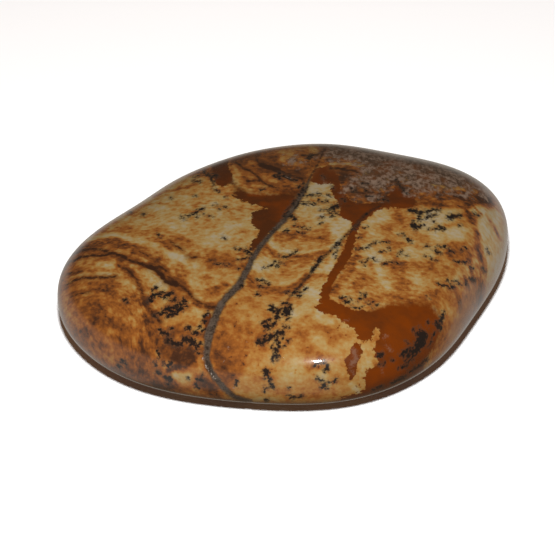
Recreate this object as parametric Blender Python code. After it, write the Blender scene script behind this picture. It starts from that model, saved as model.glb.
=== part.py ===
"""A tumbled and polished pebble of picture jasper, as one closed solid.

Run with: blender --background --python part.py

The pebble lies flat with +Z up. Its origin is on the surface it rests on, under the middle of its
bounding box, with +X along its longer side. Lengths are in millimetres until the mesh is written,
which is in metres.
"""

from math import atan2, cos, pi, radians, sin, tau

import bmesh
import bpy
import numpy as np
from mathutils import Vector

MM = 0.001

# Plan: distance from the middle to the widest line, at equal turns anticlockwise from +X.
RIM_RADII = (
    28.3, 31.7, 31.8, 28.5, 27.1, 25.6, 24.0, 23.2, 23.7, 25.5,
    30.1, 32.5, 31.6, 29.0, 26.7, 26.2, 26.5, 26.3, 25.7, 25.8,
)

# Section: a superellipse above the widest line and a deeper one below it, cut off flat at the foot.
RIM_HEIGHT = 8.4  # of the widest line, above the resting surface
CROWN_RISE = 9.2  # of the top, above the widest line
GROUND_OFF = 0.35  # worn from the underside where the foot is flat
UPPER_POWER = 2.6  # exponent of the section: 2 is an ellipse, more has a flatter face and a tighter shoulder
LOWER_POWER = 2.3

# Broad swells left by tumbling: height, waves along X, Y and Z of the direction, and phase in degrees.
SWELLS = (
    (0.30, (2.6, 3.1, 0.0), 20.0),
    (0.22, (-4.3, 2.2, 1.5), 130.0),
    (0.14, (3.4, -5.6, 2.4), 250.0),
)

# Mesh: rings from the foot's edge up to the crown, each with this many points.
RINGS = 36
POINTS_ROUND = 96

STONE_COLOUR = (0.42, 0.22, 0.07, 1.0)
STONE_ROUGHNESS = 0.14


def rim_radius(turn):
    """The plan outline: the wave through the rim radii that repeats once round."""
    harmonics = np.fft.rfft(RIM_RADII) / len(RIM_RADII)
    shares = np.full(len(harmonics), 2.0)
    shares[0] = shares[-1] = 1.0
    angles = np.arange(len(harmonics)) * turn
    wave = harmonics.real * np.cos(angles) - harmonics.imag * np.sin(angles)
    return float(np.sum(shares * wave))


def foot_angle():
    """The angle of the section, below the widest line, where the foot cuts it off."""
    depth = RIM_HEIGHT / (RIM_HEIGHT + GROUND_OFF)
    return -atan2(depth, (1 - depth**LOWER_POWER) ** (1 / LOWER_POWER))


def swell(direction):
    """How far the surface stands proud along a direction from the middle."""
    return sum(
        height * sin(Vector(waves).dot(direction) + radians(phase)) for height, waves, phase in SWELLS
    )


def on_pebble(turn, climb):
    """The surface point at a turn round the pebble, for a climb of 0 at the foot's edge and 1 at the crown."""
    angle = foot_angle() + climb * (pi / 2 - foot_angle())
    power, half_height = (UPPER_POWER, CROWN_RISE) if angle > 0 else (LOWER_POWER, RIM_HEIGHT + GROUND_OFF)
    across, up = abs(cos(angle)), sin(angle)
    reach = (across**power + abs(up) ** power) ** (-1 / power)
    radius = rim_radius(turn) * reach * across
    height = RIM_HEIGHT + half_height * reach * up
    direction = Vector((across * cos(turn), across * sin(turn), up))
    fade = height / (RIM_HEIGHT + CROWN_RISE)  # the swells die out towards the foot, which stays flat
    return Vector((radius * cos(turn), radius * sin(turn), height)) + direction * swell(direction) * fade


def add_ring(bm, climb):
    """One closed loop of points and edges round the pebble, and its edges."""
    turns = (tau * i / POINTS_ROUND for i in range(POINTS_ROUND))
    verts = [bm.verts.new(on_pebble(turn, climb)) for turn in turns]
    return [bm.edges.new((verts[i - 1], verts[i])) for i in range(POINTS_ROUND)]


def cover(bm, edges):
    """Closes a loop of edges with one face."""
    return bmesh.ops.contextual_create(bm, geom=edges)["faces"]


def settle(bm):
    """Centres the bounding box over the origin and turns millimetres into metres."""
    for axis in (0, 1):
        ends = [vert.co[axis] for vert in bm.verts]
        middle = (min(ends) + max(ends)) / 2
        for vert in bm.verts:
            vert.co[axis] -= middle
    bmesh.ops.scale(bm, vec=(MM, MM, MM), verts=bm.verts)


def stone_material():
    material = bpy.data.materials.new("polished_jasper")
    material.use_nodes = True
    shader = material.node_tree.nodes["Principled BSDF"]
    shader.inputs["Base Color"].default_value = STONE_COLOUR
    shader.inputs["Roughness"].default_value = STONE_ROUGHNESS
    shader.inputs["Metallic"].default_value = 0.0
    return material


def make_stone():
    bm = bmesh.new()
    rings = [add_ring(bm, i / RINGS) for i in range(RINGS)]
    for lower, upper in zip(rings, rings[1:]):
        bmesh.ops.bridge_loops(bm, edges=lower + upper)
    cover(bm, rings[0])
    crown = bmesh.ops.poke(bm, faces=cover(bm, rings[-1]))["verts"][0]
    crown.co = on_pebble(0.0, 1.0)
    settle(bm)
    bmesh.ops.recalc_face_normals(bm, faces=bm.faces)
    mesh = bpy.data.meshes.new("stone")
    bm.to_mesh(mesh)
    bm.free()
    mesh.shade_smooth()
    mesh.set_sharp_from_angle(angle=pi / 6)
    mesh.materials.append(stone_material())
    stone = bpy.data.objects.new("stone", mesh)
    bpy.context.scene.collection.objects.link(stone)


def main():
    for obj in list(bpy.data.objects):
        bpy.data.objects.remove(obj)
    make_stone()


main()
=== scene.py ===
"""The looks of a tumbled picture jasper pebble: its polished surface, its markings, and a small pale stage.

The pebble is one closed surface, worked out from the turn about its middle and the climb from its foot to
its crown. Its markings run through the stone along the line of sight of the stage's camera, so each one is
placed in that camera's picture, in pixels right and down of a 555 by 553 view. On the sides that the camera
does not see they are bent more and more by a slow wave.
"""

from math import atan2, cos, pi, radians, sin

import bpy
import numpy as np
from bpy.props import FloatProperty, FloatVectorProperty, IntProperty, PointerProperty
from mathutils import Euler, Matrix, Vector


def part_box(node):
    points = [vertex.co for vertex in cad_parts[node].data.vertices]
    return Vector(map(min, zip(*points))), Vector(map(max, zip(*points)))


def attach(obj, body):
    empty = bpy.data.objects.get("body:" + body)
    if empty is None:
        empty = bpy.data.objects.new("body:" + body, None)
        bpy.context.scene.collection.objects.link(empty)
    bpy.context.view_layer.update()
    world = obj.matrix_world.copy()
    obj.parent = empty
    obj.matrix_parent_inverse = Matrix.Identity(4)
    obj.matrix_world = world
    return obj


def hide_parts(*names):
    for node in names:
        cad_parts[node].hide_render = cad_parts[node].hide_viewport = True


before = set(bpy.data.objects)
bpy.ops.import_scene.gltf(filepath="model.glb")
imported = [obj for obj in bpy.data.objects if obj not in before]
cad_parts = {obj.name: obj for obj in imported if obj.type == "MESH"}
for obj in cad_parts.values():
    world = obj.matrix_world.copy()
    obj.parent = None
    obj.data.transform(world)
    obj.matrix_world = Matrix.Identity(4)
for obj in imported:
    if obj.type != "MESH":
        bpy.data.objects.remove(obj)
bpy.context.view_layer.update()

bl_info = {
    "name": "Picture Jasper Pebble",
    "version": (1, 0, 0),
    "blender": (4, 5, 0),
    "location": "View3D > Sidebar > Jasper",
    "description": "Builds a polished picture jasper pebble and a small stage for it",
    "category": "Add Mesh",
}

MM = 0.001
TINY = 1e-9  # keeps a division and a logarithm away from zero

# ---- Form of the pebble, in millimetres ----

# Plan: distance from the middle to the widest line, at equal turns anticlockwise from +X.
RIM_RADII = (
    28.3, 31.7, 31.8, 28.5, 27.1, 25.6, 24.0, 23.2, 23.7, 25.5,
    30.1, 32.5, 31.6, 29.0, 26.7, 26.2, 26.5, 26.3, 25.7, 25.8,
)
RIM_HEIGHT = 8.4  # of the widest line, above the resting surface
CROWN_RISE = 9.2  # of the top, above the widest line
GROUND_OFF = 0.35  # worn from the underside where the foot is flat
UPPER_POWER = 2.6  # exponent of the section above the widest line: 2 is an ellipse, more is squarer
LOWER_POWER = 2.3  # and below it
# Broad swells left by tumbling: height, waves along X, Y and Z of the direction, and phase in degrees.
SWELLS = (
    (0.30, (2.6, 3.1, 0.0), 20.0),
    (0.22, (-4.3, 2.2, 1.5), 130.0),
    (0.14, (3.4, -5.6, 2.4), 250.0),
)
GROOVE_SLOPE = 0.25  # width of the slope from the polished surface down to the worn vein

SECTION_SAMPLES = 4000  # points of the section, for measuring along it
UNDERSIDE_FROM = -0.5  # angle of the section, in radians, where the underside begins
UNDERSIDE_DENSITY = 0.45  # mesh lines on the underside, as a share of those on the top
SHARP_EDGE = radians(40.0)  # the foot's edge turns by more than this and is shaded sharp

# ---- The camera, and with it the directions that the markings run along ----
# Lengths are in metres, but the lens and its sensor are in millimetres.

VIEW_WIDTH = 555
VIEW_HEIGHT = 553
CAMERA_ELEVATION = radians(36.0)
CAMERA_DISTANCE = 0.25
CAMERA_TARGET = (-0.0014, -0.0024, 0.00875)
CAMERA_LENS = 120.0
CAMERA_SENSOR = 36.0
CAMERA_CLIP = 0.01
PIXEL = CAMERA_DISTANCE * CAMERA_SENSOR / CAMERA_LENS / VIEW_WIDTH / MM  # in millimetres, at the target

# ---- Markings, in pixels of the camera's picture ----

# The healed crack, filled with grey quartz, that crosses the whole stone: half-width, then x and y.
VEIN = (
    (0.5, 310, 178), (1.1, 308, 182), (1.6, 305.5, 188), (2.0, 302, 194), (2.4, 297.7, 201.5),
    (2.6, 291.8, 210), (2.6, 284.3, 220), (2.5, 274.8, 229.5), (2.6, 266, 239), (2.8, 258.2, 249.5),
    (2.9, 252, 259), (3.2, 248, 268), (3.4, 243, 277), (3.6, 238, 286), (3.4, 231, 293), (3.4, 225, 299),
    (3.6, 220, 306.5), (3.9, 216.5, 314), (4.2, 213.5, 322), (4.5, 210.5, 330), (4.3, 208.5, 337),
    (3.8, 207.5, 345), (3.4, 206.5, 353), (3.2, 207, 361), (3.2, 210, 369.5), (3.2, 215, 377.5),
    (3.2, 221, 385), (3.0, 228, 392), (2.6, 236, 398), (2.4, 250, 402),
)
# The hairline crack to the right of it.
HAIRLINE = (
    (0.8, 380, 206), (1.6, 372, 210), (1.9, 364, 216), (2.0, 357, 224), (1.9, 352, 229),
    (1.8, 346, 235.5), (1.7, 340, 241), (1.7, 333, 248), (1.8, 325, 256), (1.8, 319, 262),
    (1.8, 313, 270), (1.7, 307, 278), (1.6, 300, 286), (1.4, 293, 293), (1.0, 288, 300), (0.7, 285, 305),
)

# Chestnut jasper with sharp scalloped borders: outlines.
CHESTNUT = (
    # behind the vein, with the notch of cream that points into it
    ((208, 160), (214, 176), (215, 184), (222, 187), (229, 186), (232, 190), (231, 194), (236, 198),
     (241, 201), (250, 204), (260, 206), (267, 208.5), (259, 210), (251, 212), (253, 218), (250, 222),
     (254, 226), (259, 230), (257, 236), (252, 241), (249, 252), (257, 249), (264, 240), (273.5, 230),
     (283.5, 220), (291, 210), (298, 200), (305, 189), (308, 182), (298, 187), (280, 188), (262, 189.5),
     (250, 188.5), (240, 183), (233, 176), (229, 168), (228, 158)),
    # the band right of the vein, the strip beside the hairline crack, and the broad patch at the front
    ((309, 182), (315, 168), (330, 166), (338, 176), (342, 190), (352, 201), (368, 203), (383, 202),
     (391, 191), (396, 181), (400, 187), (406, 193), (418, 197), (432, 199), (443, 202), (432, 207),
     (412, 208.5), (395, 208), (381, 209), (371, 215), (362, 222), (357, 231), (356, 238), (353.5, 247),
     (350.6, 257), (347.3, 265), (345, 271.5), (340, 276), (336.5, 281), (333, 287), (330.5, 292),
     (328.5, 296), (330, 299), (337, 302), (345, 305), (350, 309), (358, 310), (370, 309), (378, 306),
     (390, 299), (408, 297), (424, 297), (433, 299), (440, 305), (445, 316), (445, 332), (439, 350),
     (424, 372), (395, 392), (350, 402), (340, 398), (352, 394.5), (362, 391), (366, 385), (363, 379),
     (366, 372), (371, 367), (377, 366), (378, 360), (375, 355), (373, 350), (374, 345), (378, 340),
     (380, 334), (376, 328), (374, 331), (373, 337), (370, 341), (364, 341), (358, 338), (355, 330),
     (348, 327), (346, 323), (341, 322), (337, 317), (328, 314), (319, 312), (315, 306), (320, 303),
     (321, 298), (319, 294), (321, 290), (323, 286), (327, 281), (328, 276), (331, 272), (333, 267),
     (336.5, 262), (339, 256), (342, 250), (345, 244), (347, 238), (349.5, 232), (352.5, 227), (351, 222),
     (344, 219), (339, 214), (341, 207), (335, 198), (330, 190), (334, 184), (318, 184)),
    # islands
    ((357, 343), (361, 345), (362.5, 350), (360, 359), (357, 366), (356, 373), (353, 379), (350, 379),
     (349, 375), (347, 369), (345, 363), (347, 357), (351, 352), (352, 347)),
    ((355, 384), (359, 384), (360, 387), (356, 388)),
    ((336, 327), (339, 327), (339, 333), (336, 331)),
    ((203, 318), (209, 312), (213, 318), (211, 328), (206, 331)),
)

# Shades of the ground, laid one over the other: from 0, pale cream, over 1, umber, to the darkest shade;
# half-width; line.
SHADES = (
    # left of the vein
    (0.70, 50, (84, 270), (104, 330), (150, 385)),
    (0.76, 12, (132, 304), (140, 318)),
    (0.88, 14, (98, 318), (122, 338), (140, 352)),
    (0.84, 15, (90, 312), (102, 332)),
    (0.82, 8, (98, 342), (122, 350), (144, 356)),
    (0.80, 9, (80, 306), (80, 340)),
    (0.74, 12, (128, 342), (118, 352)),
    (0.70, 9, (112, 300), (122, 318)),
    (0.84, 12, (120, 370), (152, 378)),
    (0.98, 6, (142, 374), (152, 379)),
    (0.95, 2, (141, 331), (143, 352)),
    (0.80, 5, (74, 318), (88, 330), (96, 344)),
    (0.70, 4, (110, 330), (122, 336), (130, 330)),
    (0.72, 4, (92, 352), (106, 362), (122, 366)),
    (0.60, 4, (68, 312), (80, 326)),
    (0.60, 3, (131, 318), (136, 330), (135, 344)),
    (0.36, 26, (165, 212), (205, 215), (235, 225)),
    (0.28, 13, (205, 236), (232, 240)),
    (0.42, 7, (150, 194), (178, 186), (196, 183)),
    (0.78, 1.8, (152, 197), (164, 192), (176, 190), (188, 187), (198, 182)),
    (0.70, 1.4, (146, 206), (156, 203), (164, 204)),
    (0.90, 8, (204, 172), (222, 174)),
    (0.42, 8, (116, 220), (140, 217), (158, 219)),
    (0.66, 7, (160, 229), (178, 240), (190, 247)),
    (0.80, 7, (92, 244), (112, 241), (132, 241)),
    (0.78, 7, (150, 236), (162, 243), (172, 250)),
    (0.72, 8, (196, 258), (216, 264), (240, 268)),
    (0.66, 6, (178, 246), (196, 256)),
    (0.30, 2.6, (88, 240), (98, 236.5), (110, 234.5), (122, 236), (134, 240)),
    (0.28, 4, (124, 238), (140, 242), (156, 246), (168, 254), (182, 259), (196, 264)),
    (0.18, 3.5, (172, 256), (182, 258)),
    (0.24, 3, (190, 268), (200, 270)),
    (0.40, 14, (196, 276), (222, 284)),
    (0.82, 4, (134, 252), (146, 256), (158, 262)),
    (0.56, 6, (84, 264), (112, 265)),
    (0.30, 4, (98, 264), (114, 265)),
    (0.85, 5, (120, 264), (130, 272)),
    (0.36, 2, (72, 276), (90, 273.5), (110, 273.5)),
    (0.92, 3.5, (74, 252), (90, 251), (104, 253)),
    (0.90, 4, (114, 255), (130, 259), (146, 266)),
    (0.96, 5, (150, 265), (160, 268), (166, 272)),
    (0.88, 6, (160, 274), (170, 280), (184, 286)),
    (0.88, 1.2, (64, 289), (74, 285), (92, 283), (112, 285)),
    (0.88, 1.2, (66, 296), (78, 291), (96, 289), (112, 292)),
    (0.86, 1.2, (68, 303), (80, 298), (96, 296)),
    (0.88, 1.0, (62, 281), (70, 276), (80, 272)),
    (0.52, 5, (122, 282), (134, 288)),
    (0.96, 3, (124, 268), (132, 273), (137, 280), (141, 290), (144, 300)),
    (0.34, 6, (146, 272), (154, 280), (164, 290)),
    (0.22, 4, (158, 280), (168, 288)),
    (0.70, 22, (168, 306), (176, 340), (186, 380)),
    (0.98, 6, (144, 300), (153, 312), (156, 326)),
    (0.90, 6, (148, 318), (150, 332)),
    (0.20, 4, (150, 274), (158, 281), (166, 288)),
    (0.92, 4, (176, 285), (186, 292), (193, 301), (202, 306), (214, 306)),
    (0.72, 5, (174, 289), (182, 294), (188, 301)),
    (0.56, 8, (170, 320), (198, 321)),
    (0.48, 5, (178, 316), (198, 315)),
    (0.46, 5, (154, 306), (166, 300)),
    (0.74, 5, (172, 291), (179, 296)),
    (0.80, 2.0, (196, 302), (206, 304), (214, 304)),
    (0.84, 4, (168, 335), (206, 336)),
    (0.76, 8, (150, 344), (162, 346)),
    (0.92, 9, (166, 350), (180, 351), (191, 354)),
    (1.10, 5, (174, 358), (184, 359), (191, 357)),
    (1.30, 2.2, (170, 371), (178, 367), (187, 364.5), (192, 361), (193, 357)),
    (1.06, 3.2, (168, 371), (176, 366.5), (186, 365), (193, 360)),
    (0.40, 8, (174, 379), (187, 379)),
    (0.18, 5.5, (176, 377), (186, 377)),
    (0.92, 9, (204, 382), (216, 394)),
    (0.90, 10, (154, 376), (170, 388)),
    (0.80, 4, (201, 348), (203, 362), (207, 374)),
    (0.78, 6, (206, 296), (226, 286)),
    # the layered back, left of the vein
    (0.88, 16, (240, 160), (300, 164)),
    (0.78, 9, (244, 172), (262, 182), (300, 184)),
    (0.52, 2.5, (234, 166), (240, 176), (247, 182)),
    (0.56, 2.5, (250, 162), (262, 166)),
    (0.50, 2, (248, 177), (262, 178), (276, 182)),
    (0.78, 6, (244, 181), (256, 186), (274, 189), (298, 190)),
    (0.58, 1.6, (252, 186), (270, 187)),
    (0.62, 7, (284, 158), (300, 162)),
    (0.98, 6, (262, 165), (282, 170), (302, 178)),
    # between the vein and the hairline crack
    (0.48, 26, (280, 228), (320, 232), (310, 300)),
    (0.14, 10, (314, 188), (326, 190)),
    (0.30, 12, (304, 208), (322, 220)),
    (0.10, 7, (334, 230), (344, 224)),
    (0.66, 6, (276, 236), (300, 236), (326, 233)),
    (0.76, 1.8, (280, 241), (296, 238)),
    (0.76, 1.8, (300, 240), (326, 237)),
    (0.16, 2.4, (268, 238), (273, 246), (279, 250.5), (290, 253), (305, 253), (325, 249), (334, 245)),
    (0.76, 4, (266, 248), (275, 254.5), (286, 259), (300, 257.5), (320, 254), (328, 251)),
    (0.66, 6, (284, 262), (300, 263)),
    (0.24, 9, (256, 266), (266, 262), (276, 268)),
    (0.22, 3, (262, 279), (273, 283), (285, 284), (297, 281), (303, 276)),
    (0.86, 5, (250, 281), (258, 288), (272, 291.5), (286, 291), (297, 286), (306, 278)),
    (1.00, 1.4, (246, 277), (255, 284)),
    (0.15, 5, (322, 272), (330, 269)),
    (0.14, 6, (306, 292), (316, 295)),
    (0.54, 12, (236, 298), (262, 302), (280, 304)),
    # the front
    (0.62, 18, (250, 320), (254, 350), (248, 385)),
    (0.79, 20, (238, 316), (232, 335), (234, 366)),
    (0.56, 5, (228, 318), (230, 330)),
    (0.34, 12, (256, 382), (252, 392)),
    (0.82, 9, (219, 340), (218, 366), (232, 384)),
    (0.94, 3, (222, 358), (228, 362)),
    (0.72, 8, (246, 336), (262, 338)),
    (0.50, 14, (246, 312), (262, 314)),
    (0.48, 16, (258, 372), (248, 388), (268, 392)),
    (0.54, 24, (306, 316), (312, 340), (316, 372)),
    (0.30, 9, (284, 372), (300, 366)),
    (0.42, 7, (316, 340), (330, 350)),
    (0.20, 7, (322, 376), (334, 384)),
    (0.62, 6, (300, 336), (312, 330)),
    (0.64, 5, (326, 326), (336, 336)),
    (0.60, 5, (340, 366), (338, 378)),
    (0.48, 12, (344, 350), (338, 384)),
    (0.22, 8, (296, 312), (306, 308)),
    (0.16, 5, (324, 306), (316, 318), (330, 322)),
    (0.26, 8, (366, 352), (366, 366)),
    (0.18, 4, (352, 384), (358, 391)),
    (0.62, 5, (292, 399), (312, 396), (334, 392)),
    (0.64, 5, (284, 392), (290, 400)),
    # right of the hairline crack
    (0.50, 44, (400, 240), (440, 262), (450, 240)),
    (0.24, 8, (378, 214), (390, 222)),
    (0.62, 8, (398, 212), (402, 226), (392, 230)),
    (0.72, 4, (362, 232), (360, 244), (357, 256)),
    (0.66, 5, (386, 240), (402, 246)),
    (0.30, 10, (372, 226), (376, 236)),
    (0.20, 6, (368, 250), (378, 258)),
    (0.24, 7, (404, 254), (430, 254)),
    (0.16, 8, (438, 236), (460, 234)),
    (0.24, 10, (424, 220), (446, 214)),
    (0.68, 3, (384, 264), (404, 264)),
    (0.58, 9, (366, 276), (356, 290)),
    (0.72, 5, (353, 262), (347, 275), (338, 284), (334, 292)),
    (0.70, 9, (396, 270), (402, 284), (404, 296)),
    (0.22, 4, (376, 264), (381, 274), (388, 286)),
    (0.62, 8, (436, 268), (454, 270)),
    (0.76, 8, (452, 253), (468, 256)),
    (0.38, 9, (420, 282), (428, 288)),
    (0.66, 9, (374, 299), (404, 298), (440, 299)),
    (0.68, 10, (444, 292), (452, 300)),
    (0.52, 6, (466, 280), (462, 272)),
    (0.72, 17, (462, 300), (462, 318), (452, 345)),
    (0.67, 10, (448, 298), (456, 314), (452, 340), (438, 362)),
    (0.78, 9, (476, 284), (480, 300), (470, 322)),
    (0.95, 1.4, (470, 268), (476, 282), (477, 300)),
    (0.95, 1.4, (464, 276), (470, 290)),
    (0.50, 2, (486, 270), (488, 290), (480, 308)),
    (0.95, 2.5, (454, 288), (459, 300), (460, 312)),
    (0.94, 3, (480, 266), (484, 276), (482, 296), (474, 314)),
    # The pale strokes on the right wall below are partly its own pale bands, partly painted sheen where the
    # wall reflects the pale surroundings.
    (0.20, 8, (466, 206), (478, 208)),
    (0.20, 12, (490, 216), (494, 250), (490, 270)),
    (0.14, 1.6, (480, 208), (490, 220), (498, 236)),
    (0.14, 1.6, (480, 220), (488, 232), (494, 248)),
    (0.66, 1.2, (478, 214), (486, 224), (494, 238), (498, 252)),
    (0.60, 1.0, (482, 232), (488, 244), (491, 258)),
    (0.14, 1.6, (484, 242), (488, 256), (489, 270)),
    (0.84, 1.0, (473, 206), (484, 217), (492, 229)),
    (0.80, 1.0, (479, 224), (486, 237), (491, 251)),
    (0.84, 1.0, (485, 214), (494, 226), (500, 241)),
    (0.80, 1.0, (484, 250), (487, 263), (486, 277)),
    (0.90, 1.0, (481, 264), (481, 280), (478, 298)),
    (0.20, 8, (484, 222), (491, 240), (493, 260)),
    (0.20, 3.0, (478, 224), (484, 240), (487, 256)),
    (0.78, 4.5, (460, 200), (467, 211), (474, 222), (477, 234), (478, 246), (481, 258), (484, 270)),
    (0.90, 1.6, (462, 203), (469, 214), (475, 225), (478, 238), (480, 252), (483, 266)),
    (0.62, 2.0, (486, 214), (494, 226), (500, 240)),
    (0.92, 9, (400, 192), (432, 196), (466, 197), (488, 200)),
    (1.00, 3, (438, 198), (466, 196)),
    (0.60, 2, (436, 190), (460, 188), (476, 192)),
    (0.72, 2, (408, 203), (430, 203), (458, 201)),
    (0.12, 3, (433, 206), (442, 206)),
    # umber along the back
    (0.94, 12, (330, 152), (400, 160), (460, 176)),
    (0.84, 8, (334, 160), (350, 160)),
    (0.84, 7, (332, 170), (358, 173)),
    (0.88, 5, (317, 160), (330, 162)),
    (0.30, 1.5, (330, 164), (345, 163.5), (364, 166)),
    (0.40, 1.1, (338, 175), (352, 177), (362, 178)),
    (0.95, 8, (344, 178), (360, 190)),
    (0.96, 6, (352, 194), (380, 196)),
    (1.0, 4, (386, 187), (394, 180), (402, 188), (412, 197)),
    (0.80, 5, (428, 204), (450, 205), (470, 203)),
    (0.86, 5, (340, 182), (347, 193), (358, 200), (378, 200), (390, 192)),
    # the pale margin along the strip of chestnut
    (0.16, 4, (344, 222), (340, 236), (336, 248)),
    (0.10, 3.5, (335, 254), (331, 266)),
    (0.46, 4, (322, 275), (316, 284)),
    (0.10, 4.5, (306, 291), (317, 293)),
    (0.28, 3, (312, 300), (317, 302)),
)

# Tones of the chestnut, laid the same way: from 0, orange, to 1, dark brown.
CHESTNUT_TONES = (
    (0.96, 18, (220, 165), (246, 196), (264, 222), (258, 246)),
    (0.35, 3, (250, 194), (280, 194), (298, 194)),
    (0.53, 3, (262, 204), (284, 203)),
    (0.89, 5, (268, 199), (300, 194)),
    (0.68, 10, (322, 176), (340, 192), (352, 214)),
    (0.89, 7, (348, 200), (376, 202), (392, 198)),
    (0.86, 4, (396, 200), (430, 203)),
    (0.96, 6, (440, 197), (468, 196)),
    (0.53, 9, (350, 246), (340, 268), (326, 290), (326, 303)),
    (0.37, 34, (345, 312), (380, 322), (410, 325)),
    (0.57, 14, (366, 318), (380, 326)),
    (0.35, 14, (395, 330), (402, 350), (398, 360)),
    (0.05, 11, (374, 376), (396, 371), (396, 384)),
    (0.57, 8, (380, 390), (410, 376), (430, 356)),
    (0.28, 10, (452, 312), (450, 340), (434, 366)),
)

# Where the ground is cloudy and smooth instead of streaked, laid the same way: 0 is streaked, 1 is smooth.
CALM = (
    (0.55, 40, (80, 300), (110, 340), (140, 370)),
    (0.5, 18, (240, 164), (300, 172)),
    (0.75, 20, (172, 300), (176, 330), (184, 360), (190, 390)),
    (1.0, 60, (290, 350), (330, 360), (300, 390)),
    (1.0, 34, (240, 320), (232, 380)),
    (0.1, 26, (300, 250), (290, 280)),
    (0.3, 30, (440, 220), (440, 260)),
    (0.4, 12, (262, 268), (290, 280)),
    (0.8, 13, (452, 300), (460, 318), (454, 340), (440, 360)),
)

# Where the border of the chestnut is soft, laid the same way: 0 is sharp, 1 fades over 1.3 mm.
SOFT = (
    (0.6, 12, (376, 304), (390, 304)),
    (1.0, 20, (410, 304), (438, 304)),
    (1.0, 16, (450, 312), (450, 336), (436, 360)),
    (0.35, 5, (352, 262), (344, 272), (336, 284)),
    (0.8, 8, (420, 202), (434, 205)),
    (0.5, 6, (380, 180), (406, 190)),
    (0.8, 9, (236, 186), (262, 192), (300, 190)),
)

# Thin dark layers: half-width, then the line.
LAYERS = (
    (1.3, (62, 269), (70, 262), (80, 257.5), (90, 255.5), (100, 256), (110, 254)),
    (1.5, (108, 253), (116, 254), (124, 257), (131, 261), (139, 263), (146, 266), (153, 269), (158, 272)),
    (2.4, (150, 267), (156, 270), (161, 275), (165, 280), (171, 284), (177, 285)),
    (1.3, (168, 277), (176, 282), (183, 287), (188, 292), (193, 298)),
    (1.0, (193, 298), (200, 303), (206, 305)),
    (1.6, (205, 306.5), (210, 307.5), (216, 307)),
    (1.3, (70, 255), (80, 251), (90, 249), (100, 249.5), (108, 252), (113, 254)),
    (0.9, (76, 248), (88, 246)),
    (0.7, (138, 251), (146, 255), (153, 260)),
    (1.3, (154, 263), (160, 267), (166, 271)),
    (1.2, (66, 285), (73, 281), (82, 278), (91, 277.5), (101, 277.5), (116, 277)),
    (0.8, (64, 276), (72, 273), (82, 271)),
    (0.7, (70, 298), (78, 294), (90, 292)),
    (1.0, (124, 268), (131, 273), (137, 281), (140, 288), (144, 297)),
    (1.4, (150, 309), (154, 316), (161, 322)),
    (0.8, (170, 242), (177, 246), (183, 250)),
    (0.8, (187, 256), (192, 257.5), (197, 257)),
    (1.1, (236, 162), (243, 168), (252, 172), (258, 177), (263, 182), (269, 186), (276, 187)),
    (1.0, (256, 158), (259, 164), (264, 168)),
    (2.6, (261, 165), (272, 168), (279, 171)),
    (1.4, (279, 171), (287, 174), (302, 179)),
    (0.9, (247, 181), (254, 180.5), (259, 181)),
    (1.0, (302, 155), (316, 155), (326, 150)),
    (0.9, (308, 181), (311, 176), (317, 166), (321, 157), (324, 149)),
    (1.3, (330, 168), (344, 169), (358, 172)),
    (1.0, (350, 192), (362, 193), (374, 192)),
)

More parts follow.
